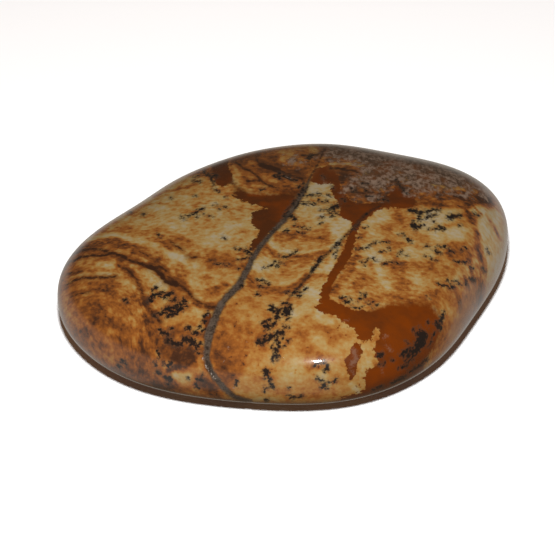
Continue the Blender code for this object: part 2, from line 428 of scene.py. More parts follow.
# Dendrites, black manganese oxide in sprays of short specks: half-width, then the line.
DENDRITES = (
    # left
    (1.9, (153, 290), (157, 287)), (2.1, (150, 298), (153, 296), (157, 294)),
    (1.9, (149, 301), (153, 300)), (1.8, (160, 295), (163, 292)),
    (2.3, (164, 297), (166, 296), (170, 294), (172, 293)), (1.8, (124, 300), (127, 301)),
    (1.9, (171, 300), (175, 299)), (1.8, (183, 299), (186, 302)), (1.8, (178, 304), (184, 301)),
    (2.0, (165, 309), (170, 307), (176, 307), (183, 304)),
    (2.0, (167, 310), (171, 311), (176, 311), (182, 309)), (2.1, (161, 314), (165, 312), (169, 315)),
    (1.9, (155, 316), (158, 314)), (2.0, (167, 317), (170, 316), (174, 315), (177, 313)),
    (1.6, (186, 306), (187, 307)), (1.9, (204, 317), (206, 315), (208, 313)),
    (1.6, (204, 322), (206, 321)), (2.0, (199, 327), (201, 326)), (2.1, (202, 331), (205, 330)),
    (2.5, (187, 328), (190, 327.5)), (2.2, (193, 333), (198, 333)),
    (2.1, (160, 330), (163, 333), (168, 335)), (1.6, (170, 329), (172, 329)),
    (2.5, (167, 341), (170, 340), (173, 343), (176, 344), (181, 344)), (1.9, (183, 338), (186, 337)),
    (2.5, (185, 341), (190, 339), (193, 343), (197, 346), (200, 344)), (2.0, (195, 341), (190, 345)),
    (1.5, (197, 351), (200, 353)), (1.5, (158, 351), (159, 355), (159, 359)),
    (1.8, (155, 363), (156, 365)), (1.5, (163, 361), (164, 364)),
    (2.0, (168, 366), (171, 363), (172, 365)), (1.8, (156, 372), (161, 374)),
    (2.1, (165, 377), (168, 379), (172, 381), (170, 377)), (1.4, (168, 384), (169, 385)),
    (2.2, (122, 361), (126, 364)), (1.6, (118, 365), (121, 368)), (1.5, (188, 378), (189, 379)),
    (1.7, (202, 374), (203, 376)), (1.7, (197, 380), (200, 379), (203, 381)),
    (2.2, (196, 386), (198, 388)),
    # left, towards the back
    (1.1, (128, 213), (131, 212)), (1.4, (142, 215), (145, 214)), (1.0, (157, 234), (161, 237)),
    (0.9, (170, 198), (172, 198)), (0.8, (194, 196), (197, 196)), (1.1, (194, 177), (199, 176)),
    (1.2, (193, 181), (198, 182), (201, 181)), (1.4, (204, 172), (207, 175), (212, 176), (217, 176)),
    (1.6, (211, 178), (213, 182), (214, 185)), (1.1, (213, 189), (216, 190), (220, 192)),
    (0.7, (225, 197), (227, 197)), (0.9, (214, 205), (217, 205)), (1.1, (219, 209), (220, 208)),
    (0.8, (225, 207), (228, 207)), (1.8, (194, 214), (196, 213), (200, 210)),
    (1.1, (200, 210), (204, 208)), (0.8, (196, 217), (198, 217)),
    (0.7, (180, 217), (186, 216), (192, 215)), (0.8, (183, 219), (186, 219)),
    (0.5, (203, 214), (208, 216), (213, 217)), (1.2, (223, 237), (225, 239)),
    (1.0, (234, 248), (240, 249.5), (246, 250), (251, 248.5)), (2.5, (246, 251), (250, 253)),
    (0.9, (237, 259.5), (241, 260), (245, 257.5), (249, 258)),
    (1.1, (216, 263), (219, 264.5), (222, 264), (225, 266), (228, 265)), (0.9, (237, 268), (239, 269)),
    (1.8, (240, 287), (242, 285)), (2.0, (275, 176), (280, 174), (279, 178)),
    (1.6, (283, 176), (287, 177), (291, 179), (296, 181)), (1.5, (297, 187), (300, 186), (304, 184)),
    (0.9, (260, 190), (264, 189)), (1.8, (308, 158), (312, 156)),
    # along the dark upper part of the vein
    (1.5, (303, 189), (297, 199)), (1.4, (295, 201), (289, 209), (284, 216)),
    (1.0, (308, 186), (303, 196)), (1.0, (299, 203), (294, 210)),
    # between the vein and the hairline crack
    (1.2, (307, 196), (312, 195), (318, 194), (321, 195)), (1.2, (328, 195), (331, 196)),
    (1.4, (302, 203), (306, 204)), (1.3, (309, 203), (316, 204)),
    (1.2, (319, 200), (324, 202), (327, 201)), (2.7, (332, 208), (337, 206)),
    (1.1, (328, 213), (334, 212), (338, 213)), (0.8, (320, 210), (331, 210)),
    (1.3, (331, 216), (333, 216)), (1.1, (320, 218), (324, 216)), (0.9, (319, 224), (322, 223)),
    (2.3, (291, 216), (295, 219)), (0.8, (294, 225), (300, 227), (304, 227)),
    (0.8, (304, 229), (310, 229)), (0.9, (297, 232), (301, 233), (305, 233)),
    (1.4, (284, 232), (288, 230)), (1.3, (279, 256.5), (285, 257.5), (290, 255)),
    (1.3, (290, 255), (294, 253), (297, 251)), (1.0, (263, 268), (267, 267), (271, 265), (275, 262)),
    (1.9, (276, 265.5), (278, 265.5)), (0.9, (280, 263), (284, 263.5)),
    (1.6, (257, 280), (262, 280), (265, 282), (269, 284)), (1.6, (259, 286), (263, 287)),
    (1.7, (257, 294.5), (259, 294.5)), (1.5, (286, 292.5), (289, 293)), (2.0, (318, 261), (321, 258)),
    (1.6, (312, 271), (317, 265)), (1.5, (334, 247), (337, 244), (341, 244)),
    (1.4, (337, 250), (334, 254), (336, 257)), (1.8, (304, 289), (306, 288.5)),
    (1.6, (293, 294), (297, 291), (303, 292.5)), (1.8, (298, 295.5), (301, 295.5)),
    # the spray below the hairline crack
    (1.9, (283, 303), (287, 304), (290, 306), (291, 309)), (2.1, (271, 306), (273, 307)),
    (1.7, (270, 310), (274, 309)), (2.7, (275, 311), (279, 310), (277, 313)),
    (2.9, (283, 313), (286, 311), (288, 314)), (1.7, (285, 308), (290, 312)),
    (2.1, (275, 317), (278, 318)), (1.5, (287, 319), (289, 318)),
    (1.6, (262, 323), (265, 322), (270, 320)), (2.2, (265, 326), (269, 324), (272, 326), (275, 323)),
    (1.7, (269, 328), (271, 326)), (1.7, (283, 326), (286, 327)), (1.2, (286, 327), (290, 327)),
    (1.6, (266, 330), (268, 330)), (2.6, (277, 333), (280, 332), (283, 333)),
    (1.5, (282, 336), (283, 338)), (2.2, (265, 337), (268, 336), (272, 335.5)),
    (2.9, (258, 342), (262, 343), (265, 341)), (2.2, (265, 341), (268, 339), (271, 337)),
    (2.4, (275, 338), (277, 341), (278, 344)), (1.3, (287, 340), (290, 341), (288, 343)),
    (1.4, (283, 346), (285, 346)), (2.4, (273, 347), (276, 350), (279, 347)),
    (2.5, (275, 353), (277, 355)), (2.4, (273, 358), (276, 359), (278, 357)),
    (1.7, (273, 361), (274, 362)), (2.4, (265, 371), (267, 374), (268, 372)),
    (1.8, (264, 378), (268, 377), (270, 380)), (2.1, (270, 380), (272, 385), (273, 387)),
    (1.8, (264, 388), (265, 391)), (1.2, (265, 400), (269, 400)), (1.6, (237, 381), (236, 385)),
    (1.1, (288, 388), (290, 388)), (1.4, (288, 395.5), (292, 396.5), (299, 397)),
    (1.3, (291, 398), (294, 398)),
    # front
    (1.5, (314, 366), (318, 364), (321, 363)), (2.3, (324, 362), (327, 365), (328, 368), (325, 370)),
    (2.0, (317, 378), (319, 380), (322, 381)), (1.7, (327, 384), (329, 383)),
    (1.9, (321, 388), (324, 385), (327, 388)), (1.7, (334, 381), (336, 380)),
    (1.5, (300, 396), (303, 396)),
    # right of the hairline crack
    (1.2, (355, 229), (358, 226), (360, 224)), (0.8, (364, 228), (367, 227)),
    (1.1, (358, 238), (360, 236), (361, 238)), (0.8, (355, 249), (360, 249), (366, 248)),
    (1.2, (366, 248), (370, 246), (374, 243)), (0.6, (374, 243), (380, 242), (390, 242)),
    (0.6, (379, 252), (386, 251)), (0.8, (360, 261.5), (365, 262), (369, 259), (375, 258)),
    (1.0, (363, 262), (365, 265)), (0.7, (374, 261), (377, 261)), (1.4, (383, 264), (386, 263)),
    (0.6, (388, 261.5), (395, 262), (401, 264)), (0.9, (389, 247), (390, 250)),
    (1.1, (398, 256), (399, 253), (402, 251)), (0.7, (405, 256), (408, 256)),
    (1.0, (399, 234), (404, 235), (407, 238)), (1.6, (407, 238), (411, 242)),
    (2.6, (413, 226), (417, 227)), (1.9, (417, 227), (424, 225)), (1.2, (413, 221), (415, 231)),
    (2.2, (410, 210), (415, 211), (420, 213)), (2.2, (420, 213), (419, 219)),
    (1.6, (422, 212), (428, 212), (434, 209)), (1.3, (434, 209), (440, 210)),
    (1.7, (426, 218), (430, 216), (436, 215)), (1.0, (432, 221), (434, 222)),
    (0.7, (427, 229), (431, 229), (436, 228.5)), (2.0, (437, 229), (440, 227), (443, 229)),
    (0.7, (442, 229), (446, 229.5)), (2.8, (449, 217), (453, 217)), (1.7, (455, 215), (461, 216)),
    (1.1, (459, 225), (461, 226)), (0.8, (424, 246.5), (430, 245.5)), (0.9, (433, 249), (436, 249)),
    (1.4, (436, 250), (438, 253), (441, 253)), (1.0, (438, 246), (443, 247), (446, 246)),
    (1.2, (446, 247), (449, 250), (453, 252)), (1.1, (461, 250), (464, 247.5), (467, 249)),
    (0.7, (424, 256), (429, 256.5)), (0.9, (432, 259), (437, 260.5)),
    (1.0, (454, 261), (459, 262.5), (463, 262), (467, 263)), (1.1, (471, 267), (474, 269)),
    (2.4, (471, 279), (473, 280)), (1.0, (465, 284), (467, 286)),
    (1.0, (438, 283), (442, 285), (447, 287)), (1.7, (450, 288), (453, 287)),
    (0.9, (447, 280), (450, 283)), (1.0, (454, 281), (457, 281), (460, 285)),
    (1.1, (427, 296), (429, 298)), (1.0, (339, 297.5), (344, 297.5), (348, 298), (352, 300)),
    (1.6, (345, 302), (349, 302)), (1.0, (352, 306), (356, 308), (362, 308)),
    (1.2, (358, 300), (362, 299), (365, 296)), (1.0, (360, 293), (363, 295), (366, 294)),
    (1.1, (366, 303), (369, 303), (373, 302)), (1.0, (373, 307), (376, 306), (379, 304)),
    (3.0, (379, 355), (381, 355)), (1.1, (379, 364), (382, 363)), (1.0, (384, 363), (384, 365)),
    (1.2, (392, 361), (393, 359)), (1.0, (473, 213), (479, 216)), (0.9, (351, 188), (355, 190)),
    (1.1, (396, 182), (399, 185)), (0.9, (366, 196), (372, 197)), (0.8, (384, 199), (388, 201)),
    (0.8, (342, 199), (345, 201)), (0.9, (364, 190), (368, 191)), (0.8, (358, 201), (362, 202)),
    (1.2, (396, 179), (398, 184)), (1.1, (400, 187), (404, 190)), (1.0, (352, 190), (356, 191)),
    (1.0, (361, 183), (368, 184)), (1.0, (378, 199), (384, 200)), (1.0, (404, 192), (408, 194)),
    (0.8, (331, 186), (334, 188)), (0.7, (322, 176), (325, 177)), (1.0, (487, 249), (489, 254)),
    (1.4, (482, 268), (485, 272)),
    # the big dendrite at the front right
    (3.9, (420, 334), (424, 335)), (4.6, (421, 339), (423, 338)), (3.8, (417, 345), (422, 344)),
    (1.4, (413, 330), (416, 334)), (0.8, (419, 326), (421, 331)), (3.2, (413, 352), (418, 349)),
    (2.6, (404, 352), (410, 350)), (2.2, (402, 354), (408, 356)), (1.0, (410, 347), (406, 341)),
    (1.6, (413, 357), (416, 352)), (1.0, (404, 361), (412, 361)),
    (1.5, (399, 368), (403, 367), (407, 365)), (2.7, (437, 323), (440, 328)),
    (2.1, (439, 326), (441, 321), (443, 313)), (1.1, (435, 332), (432, 338)),
    (0.9, (432, 338), (430, 343), (428, 347)), (0.9, (428, 321), (428, 325)),
    (1.5, (410, 372), (416, 368), (422, 364), (427, 359)), (1.5, (392, 383), (398, 380), (405, 377)),
    (1.4, (372, 391), (377, 388), (382, 386)),
)

# Specks of pale grain in brown: outlines of the areas.
GRANULAR = (
    ((316, 140), (352, 138), (400, 142), (450, 150), (480, 165), (500, 190), (486, 197), (462, 192),
     (440, 192), (420, 193), (408, 191), (402, 186), (396, 179), (391, 185), (385, 195), (368, 198),
     (354, 196), (345, 188), (346, 182), (356, 178), (362, 168), (348, 162), (330, 161), (316, 158)),
    ((286, 158), (296, 155), (304, 157), (303, 163), (297, 164), (289, 162)),
)

# Faint pale veils over the chestnut: pale clouds in the stone, and two broad ones of painted sheen along the
# lower right rim; half-width, line.
VEILS_AND_SHEEN = (
    (3.0, (354, 350), (356, 358), (352, 364)), (1.6, (350, 368), (354, 374)),
    (1.6, (384, 338), (386, 336)), (2.0, (386, 346), (391, 350)), (1.4, (381, 366), (383, 374)),
    (1.4, (344, 321), (348, 320)), (1.4, (342, 186), (349, 188)), (1.2, (354, 197), (362, 197)),
    (1.6, (372, 195), (380, 196)), (1.2, (322, 179), (326, 183)), (1.2, (340, 192), (344, 196)),
    # the two broad veils here, along the lower right rim, are painted sheen
    (1.2, (386, 192), (392, 190)), (9.0, (472, 290), (466, 310), (456, 336)),
    (6.0, (456, 336), (446, 354), (432, 370)),
)
# Small pale specks, most of them beside the vein: partly pale pits, partly painted glints where the rough
# vein catches the light; half-width, line.
GLINTS_AND_PITS = (
    (0.9, (328, 270.5), (331, 270)), (0.8, (316, 300), (319, 300)), (0.45, (285.5, 176.5), (291, 179)),
    (0.9, (203, 358), (204, 360)), (1.0, (205, 365), (206.5, 367)), (0.5, (207, 368), (210, 373)),
    (0.6, (211, 374), (216, 380)), (0.4, (222, 363), (224, 361)), (0.4, (238, 372), (240, 372)),
    (0.4, (228, 346), (229, 349)), (0.4, (233, 388), (235, 388)), (0.3, (246, 342), (247, 342)),
    (0.4, (133, 320), (134, 320)), (0.4, (145, 332), (146, 332)), (0.4, (208, 314), (208, 316)),
)

# Bedding: lines that follow the layers, each with its distance across them, in pixels.
BEDS_LEFT = (
    (-32, (260, 150), (290, 158), (322, 168)),
    (-16, (225, 160), (250, 166), (270, 171), (303, 179)),
    (0, (140, 207), (165, 192), (190, 184), (212, 182), (240, 186), (275, 192), (300, 196)),
    (25, (130, 222), (160, 212), (190, 208), (215, 207), (240, 209), (275, 212)),
    (45, (105, 234), (140, 231), (170, 231), (200, 232), (230, 232), (262, 236)),
    (63, (90, 245), (115, 241), (135, 241), (155, 245), (175, 251), (195, 256), (225, 258), (250, 258)),
    (82, (62, 269), (80, 257.5), (100, 256), (120, 255.5), (140, 262), (158, 271), (175, 285), (193, 296),
     (220, 303)),
    (102, (62, 286), (80, 278), (100, 277.5), (118, 279), (134, 288), (146, 303), (154, 322), (160, 345),
     (162, 370), (160, 392)),
    (126, (63, 308), (76, 300), (95, 298), (114, 306), (128, 322), (136, 345), (138, 368), (134, 386)),
    (150, (70, 330), (82, 323), (94, 324), (106, 334), (112, 350), (112, 366), (106, 376)),
    (97, (175, 318), (190, 320), (207, 322)),
    (110, (182, 345), (205, 346)),
    (122, (182, 368), (206, 369), (225, 398)),
)
BEDS_RIGHT = (
    (-24, (330, 150), (380, 156), (430, 168), (480, 186)),
    (0, (312, 185), (338, 190), (360, 195), (400, 198), (440, 198), (470, 200), (490, 212), (502, 235)),
    (22, (298, 212), (315, 212), (338, 212), (375, 216), (420, 218), (460, 216), (479, 226), (491, 250),
     (495, 272)),
    (44, (280, 232), (300, 237), (325, 236), (345, 231), (380, 238), (430, 240), (465, 241), (481, 262),
     (484, 292)),
    (64, (262, 247), (280, 253), (300, 254), (320, 250), (345, 247), (380, 256), (430, 258), (462, 262),
     (474, 290), (472, 314)),
    (84, (252, 262), (270, 270), (290, 271), (310, 267), (335, 264), (370, 272), (430, 278), (457, 288),
     (464, 315), (455, 336)),
    (106, (246, 276), (256, 288), (275, 292), (298, 288), (330, 285), (365, 292), (410, 300), (440, 312),
     (447, 335), (437, 354)),
    (135, (228, 305), (260, 312), (300, 312), (340, 315), (380, 325), (415, 335), (425, 356), (415, 376)),
    (165, (215, 335), (250, 342), (300, 345), (350, 348), (385, 358), (395, 382)),
    (200, (212, 370), (240, 378), (300, 382), (345, 385), (362, 396)),
)
BED_SLACK = 800.0  # how freely the bedding leaves its drawn lines, which smooths them
LEFT_LEVELS = 400.0  # added to the levels left of the vein, so that no streak runs on across it

FADE_END = 1.3  # half-widths from its line where a soft stroke ends; it fades over the last one
PLAIN_SHADE = 0.5  # where no stroke lies

# How the markings bend where the camera does not see them: radians per millimetre along X, Y and Z, phase,
# and the shift to the right and down as shares of the bend.
HIDDEN_BEND = 34.0  # pixels
BEND_WAVES = (
    ((0.11, 0.16, 0.21), 0.4, (1.0, 0.3)),
    ((-0.19, 0.09, 0.27), 2.1, (-0.4, 0.9)),
    ((0.24, -0.22, 0.13), 4.0, (0.5, -0.6)),
)

# ---- The finish ----

# Noises in the stone: cells per millimetre, detail, strength of the detail, and cells per millimetre across
# the bedding for the two that are drawn out along it.
NOISES = {
    "streaks": (0.35, 4.0, 0.62, 1.3),
    "flecks": (1.35, 2.0, 0.5, 1.9),
    "clouds": (0.55, 3.0, 0.6),
    "scallops": (1.7, 2.0, 0.6),
    "speckles": (4.5, 2.0, 0.6),
    "patches": (0.33, 1.0, 0.5),
    "sprays": (2.6, 1.0, 0.5),
    "waves": (0.5, 1.0, 0.5),
    "grains": (2.2, 2.0, 0.6),
}
GRAIN_SQUEEZE = (0.90, 0.48, 0.48)  # along X, Y and Z: less than 1 draws the grains out that way

# Colours of the ground, from shade 0 to the darkest shade: how far along, and the name of the colour.
DARKEST_SHADE = 1.25
GROUND_COLOURS = (
    (0.0, "pale"),
    (0.224, "cream"),
    (0.40, "ochre"),
    (0.544, "orange"),
    (0.688, "brown"),
    (0.82, "umber"),
    (1.0, "layer"),
)

# How far each noise moves the border of a marking, in millimetres.
BORDERS = {
    "granular": {"grains": 2.0, "clouds": 4.0},
    "veils": {"scallops": 0.7, "speckles": 1.1},
    "layers": {"flecks": 0.55},
    "vein": {"scallops": 0.45},
    "hairline": {"speckles": 0.5},
    "dendrites": {"sprays": 0.85, "speckles": 0.5},
    "pits": {"speckles": 0.5},
}

# What lies over the ground and the chestnut, in this order: the marking, the depths inside its border where
# the colour begins and where it is full, how much it covers there, and the name of the colour. A broken
# coat covers only where the scallops are high.
COATS = (
    ("granular", -0.6, 0.9, 1.0, "grains"),
    # pale clouds, and painted sheen along the lower right rim
    ("veils", -0.15, 0.45, 0.36, "grain_pale"),
    ("layers", -0.6, 0.0, 0.55, "brown"),
    ("layers", -0.12, 0.16, 1.0, "layer"),
    ("vein", -0.30, 0.10, 0.6, "vein_border"),
    ("vein", -0.10, 0.22, 1.0, "quartz"),
    ("hairline", -0.18, 0.16, 0.6, "vein_dark"),
    ("hairline", 0.05, 0.2, "broken", "dendrite"),
    ("dendrites", -0.36, 0.04, 0.40, "halo"),
    ("dendrites", -0.12, 0.20, 1.0, "dendrite"),
    # partly pale pits, partly painted glints beside the vein
    ("pits", -0.05, 0.15, 1.0, "pit"),
)
BROKEN_EDGE = (-0.02, 0.08)

# Where the ground is calm, its streaks are weaker, its clouds and scallops are stronger, and spots appear.
CALM_STREAKS = -0.75
CALM_CLOUDS = 0.35
CALM_SCALLOPS = 0.45
CALM_SPOTS = 0.22
SPOT_EDGE = (0.14, 0.26)

# Chestnut: how far noise shifts its tone and, in millimetres, its border, which soft places widen.
CHESTNUT_NOISES = {"clouds": 0.6, "streaks": 0.9, "scallops": 0.25}
CHESTNUT_SCALLOPS = 1.05
CHESTNUT_CALM_SCALLOPS = 0.25  # more of them where the ground is calm
CHESTNUT_SPECKLES = 0.25
CHESTNUT_EDGE = (-0.06, 0.09)
CHESTNUT_SOFTNESS = 1.3

# Pale grains over a dark ground with brown patches, and the mottled quartz of the vein.
GRAIN_CLOUDS = 0.65
GRAIN_EDGE = (-0.16, 0.24)
PATCH_NOISES = {"speckles": 0.4, "patches": 1.0}
PATCH_LEVEL = 0.04
PATCH_EDGE = (0.0, 0.28)
QUARTZ_NOISES = {"scallops": 1.0, "speckles": 1.3, "clouds": 1.0}
QUARTZ_EDGE = (-0.42, 0.42)

# Polish: how much rougher the vein and the dendrites are, and how far they stand out of the relief.
VEIN_EDGE = (-0.02, 0.2)
SPECK_EDGE = (-0.12, 0.20)
VEIN_ROUGHER = 0.16
SPECKS_ROUGHER = 0.06
WAVES_RELIEF = 0.10
VEIN_RELIEF = -0.25
VEIN_GRIT_RELIEF = 0.6
SPECKS_RELIEF = -0.06
RELIEF_STRENGTH = 0.35
RELIEF_HEIGHT = 0.15 * MM
QUARTZ_IOR = 1.54
PAPER_ROUGHNESS = 0.6

# ---- Light from all round, by the direction it comes from ----

WINDOW_DIRECTION = (0.80, 0.58, 0.15)
SIDE_DROP = -0.4  # a direction counts as lower, the further it is to either side
# Each row blends two colours, or rows above it, along a part of the direction, from one value to another.
SURROUNDINGS = {
    "room": ("front", "y", -0.6, 0.6, "back"),
    "sky": ("room", "to_window", 0.93, 0.985, "window"),
    "steep": ("left", "x", -0.6, -0.2, "near"),
    "beside": ("near", "y", -0.05, 0.35, "side"),
    "right_half": ("beside", "y", 0.35, 0.60, "right"),
    "left_half": ("left", "x", -0.35, -0.10, "far"),
    "flat": ("left_half", "x", 0.20, 0.45, "right_half"),
    "ground": ("steep", "z", -0.90, -0.68, "flat"),
    "all_round": ("ground", "height", -0.35, -0.05, "sky"),
}


# ---- Geometry of the pebble ----


def rim_radius(turn):
    """The plan outline: the wave through the rim radii that repeats once round."""
    harmonics = np.fft.rfft(RIM_RADII) / len(RIM_RADII)
    shares = np.full(len(harmonics), 2.0)
    shares[0] = shares[-1] = 1.0
    angles = turn[..., None] * np.arange(len(harmonics))
    return np.cos(angles) @ (shares * harmonics.real) - np.sin(angles) @ (shares * harmonics.imag)


def foot_angle():
    """The angle of the section, below the widest line, where the foot cuts it off."""
    depth = RIM_HEIGHT / (RIM_HEIGHT + GROUND_OFF)
    return -atan2(depth, (1 - depth**LOWER_POWER) ** (1 / LOWER_POWER))


def section(angle):
    """A superellipse of two exponents: how far out, in rim radii, and how high above the rim."""
    power = np.where(angle > 0, UPPER_POWER, LOWER_POWER)
    half_height = np.where(angle > 0, CROWN_RISE, RIM_HEIGHT + GROUND_OFF)
    across, up = np.abs(np.cos(angle)), np.sin(angle)
    reach = (across**power + np.abs(up) ** power) ** (-1 / power)
    return reach * across, half_height * reach * up


def even_angles(steps):
    """Angles of the section from the crown down to the foot's edge, at even lengths along its outline.

    The length counts less on the underside, so that the mesh is finer where the stone shows.
    """
    angle = np.linspace(pi / 2, foot_angle(), SECTION_SAMPLES)
    out, up = section(angle)
    length = np.hypot(np.diff(out * np.mean(RIM_RADII)), np.diff(up))
    length *= np.where(angle[1:] < UNDERSIDE_FROM, UNDERSIDE_DENSITY, 1.0)
    along = np.concatenate(([0.0], np.cumsum(length)))
    return np.interp(np.asarray(steps) * along[-1], along, angle)


def swell(direction):
    """How far the surface stands proud along a direction from the middle: a sum of three sine waves."""
    waves = ((height, direction @ np.array(pace), radians(phase)) for height, pace, phase in SWELLS)
    return sum(height * np.sin(along + phase) for height, along, phase in waves)


def on_pebble(turn, angle):
    """The surface at a turn round the pebble and an angle of its section, in millimetres.

    The section's outward share times the rim radius gives the plan, and the swells are added along the
    direction from the middle, dying out towards the flat foot.
    """
    out, up = section(angle)
    radius = rim_radius(turn) * out
    height = RIM_HEIGHT + up
    across = np.abs(np.cos(angle))
    direction = np.stack([across * np.cos(turn), across * np.sin(turn), np.sin(angle)], axis=-1)
    plain = np.stack([radius * np.cos(turn), radius * np.sin(turn), height], axis=-1)
    proud = swell(direction) * height / (RIM_HEIGHT + CROWN_RISE)
    return plain + direction * proud[..., None]


def square_to_disc(u, v):
    """Turn and reach in a disc of a point in the square from -1 to 1: squares become circles, evenly."""
    wide = np.abs(u) > np.abs(v)
    reach = np.where(wide, u, v)
    other = np.where(wide, v, u)
    quarter = pi / 4 * other / np.where(reach == 0, 1.0, reach)
    turn = np.where(wide, quarter, pi / 2 - quarter)
    turn = np.where(reach < 0, turn + pi, turn)
    return turn, np.abs(reach)


def grid_normals(points):
    """Outward normals of a surface on a grid: the cross product of its slopes along rows and columns."""
    across = np.cross(np.gradient(points, axis=0), np.gradient(points, axis=1))
    return across / np.maximum(np.linalg.norm(across, axis=-1, keepdims=True), TINY)


def fit_to_box(points, low, high):
    """Moves and stretches the points so that their box is the given one."""
    mine_low, mine_high = points.min(axis=(0, 1)), points.max(axis=(0, 1))
    return low + (points - mine_low) * (high - low) / (mine_high - mine_low)


# ---- Places in the camera's picture ----


def camera_axes():
    """Unit vectors to the right of the camera, up, and back from what it looks at."""
    back = np.array([0.0, -cos(CAMERA_ELEVATION), sin(CAMERA_ELEVATION)])
    right = np.array([1.0, 0.0, 0.0])
    return right, np.cross(back, right), back


def in_picture(points):
    """Pixels right and down in the camera's picture, of points in millimetres, by central projection."""
    right, up, back = camera_axes()
    offset = points * MM - (np.array(CAMERA_TARGET) + back * CAMERA_DISTANCE)
    focal = CAMERA_LENS / CAMERA_SENSOR * VIEW_WIDTH
    depth = -(offset @ back)
    x = VIEW_WIDTH / 2 + focal * (offset @ right) / depth
    y = VIEW_HEIGHT / 2 - focal * (offset @ up) / depth
    return x, y


def bent_picture(points, normals):
    """Pixels in the picture, bent by slow waves as far as the surface is turned away from the camera."""
    x, y = in_picture(points)
    back = camera_axes()[-1]
    turned_away = np.clip(-(normals @ back), 0.0, 1.0)
    for waves, phase, (shift_x, shift_y) in BEND_WAVES:
        wave = np.sin(points @ np.array(waves) + phase) * turned_away * HIDDEN_BEND
        x = x + wave * shift_x
        y = y + wave * shift_y
    return x, y


def from_stretch(x, y, start, end):
    """The nearest point of a straight stretch: its share of the way along, and its distance."""
    (x0, y0), (x1, y1) = start, end
    run_x, run_y = x1 - x0, y1 - y0
    share = np.clip(((x - x0) * run_x + (y - y0) * run_y) / (run_x**2 + run_y**2), 0.0, 1.0)
    return share, np.hypot(x - x0 - share * run_x, y - y0 - share * run_y)


def distance_to_line(x, y, line):
    """Distance from each place to the nearest point of a line of straight stretches."""
    return np.min([from_stretch(x, y, start, end)[1] for start, end in zip(line, line[1:])], axis=0)


def inside_strokes(x, y, strokes):
    """Depth inside the deepest of the strokes, each with a half-width; negative outside them all."""
    return np.max([half - distance_to_line(x, y, line) for half, *line in strokes], axis=0)


def inside_tapered(x, y, stations):
    """Depth inside a line whose half-width changes evenly from station to station."""
    depths = []
    for (half0, *start), (half1, *end) in zip(stations, stations[1:]):
        share, distance = from_stretch(x, y, start, end)
        depths.append(half0 + (half1 - half0) * share - distance)
    return np.max(depths, axis=0)


def inside_outline(x, y, outline):
    """Depth inside a closed outline, negative outside: the distance to it, signed by counting crossings."""
    closed = [*outline, outline[0]]
    crossings = np.zeros(x.shape, dtype=int)
    for (x0, y0), (x1, y1) in zip(closed, closed[1:]):
        spans = (y0 > y) != (y1 > y)
        rise = y1 - y0 if y1 != y0 else 1.0
        crossings += spans & (x < x0 + (y - y0) * (x1 - x0) / rise)
    distance = distance_to_line(x, y, closed)
    return np.where(crossings % 2 == 1, distance, -distance)


def inside_outlines(x, y, outlines):
    """Depth inside the deepest of several closed outlines, negative outside them all."""
    return np.max([inside_outline(x, y, outline) for outline in outlines], axis=0)


def laid_over(x, y, ground, strokes):
    """A shade everywhere: each soft stroke covers the ones before it and fades out smoothly at its edges."""
    shade = np.full(x.shape, ground)
    for value, half, *line in strokes:
        cover = np.clip(FADE_END - distance_to_line(x, y, line) / half, 0.0, 1.0)
        cover = cover * cover * (3 - 2 * cover)
        shade += (value - shade) * cover
    return shade


def bulge(squared):
    """How a thin plate bends round a push: the squared distance times its logarithm."""
    return squared * np.log(np.maximum(squared, TINY))


def bed_levels(x, y, beds):
    """Distance across the bedding: the thin-plate surface through the levels of the drawn lines.

    It is a slanting plane plus a bulge at each drawn point, with the weights that solve for the levels.
    """
    places = np.array([point for level, *line in beds for point in line], dtype=float)
    levels = np.array([level for level, *line in beds for point in line], dtype=float)
    count = len(places)
    squared = ((places[:, None] - places[None]) ** 2).sum(axis=-1)
    plane = np.column_stack([np.ones(count), places])
    system = np.zeros((count + 3, count + 3))
    system[:count, :count] = bulge(squared) + np.eye(count) * BED_SLACK
    system[:count, count:] = plane
    system[count:, :count] = plane.T
    weights = np.linalg.solve(system, np.concatenate([levels, np.zeros(3)]))
    found = weights[count] + weights[count + 1] * x + weights[count + 2] * y
    for (px, py), weight in zip(places, weights[:count]):
        found = found + weight * bulge((x - px) ** 2 + (y - py) ** 2)
    return found


def all_bed_levels(x, y):
    """Distance across the bedding on both sides of the vein, each with its own drawn lines."""
    _, columns, rows = zip(*VEIN)
    left = x < np.interp(y, rows, columns)
    return np.where(left, bed_levels(x, y, BEDS_LEFT) + LEFT_LEVELS, bed_levels(x, y, BEDS_RIGHT))


def markings(x, y):
    """Every marking at each place of the picture: depths and bed levels in millimetres, and shades."""
    return {
        "chestnut": inside_outlines(x, y, CHESTNUT) * PIXEL,
        "shade": laid_over(x, y, PLAIN_SHADE, SHADES),
        "chestnut_tone": laid_over(x, y, PLAIN_SHADE, CHESTNUT_TONES),
        "calm": laid_over(x, y, 0.0, CALM),
        "soft": laid_over(x, y, 0.0, SOFT),
        "layers": inside_strokes(x, y, LAYERS) * PIXEL,
        "dendrites": inside_strokes(x, y, DENDRITES) * PIXEL,
        "vein": inside_tapered(x, y, VEIN) * PIXEL,
        "hairline": inside_tapered(x, y, HAIRLINE) * PIXEL,
        "granular": inside_outlines(x, y, GRANULAR) * PIXEL,
        "veils": inside_strokes(x, y, VEILS_AND_SHEEN) * PIXEL,
        "pits": inside_strokes(x, y, GLINTS_AND_PITS) * PIXEL,
        "bed": all_bed_levels(x, y) * PIXEL,
    }


# ---- Nodes of the materials and of the surroundings ----


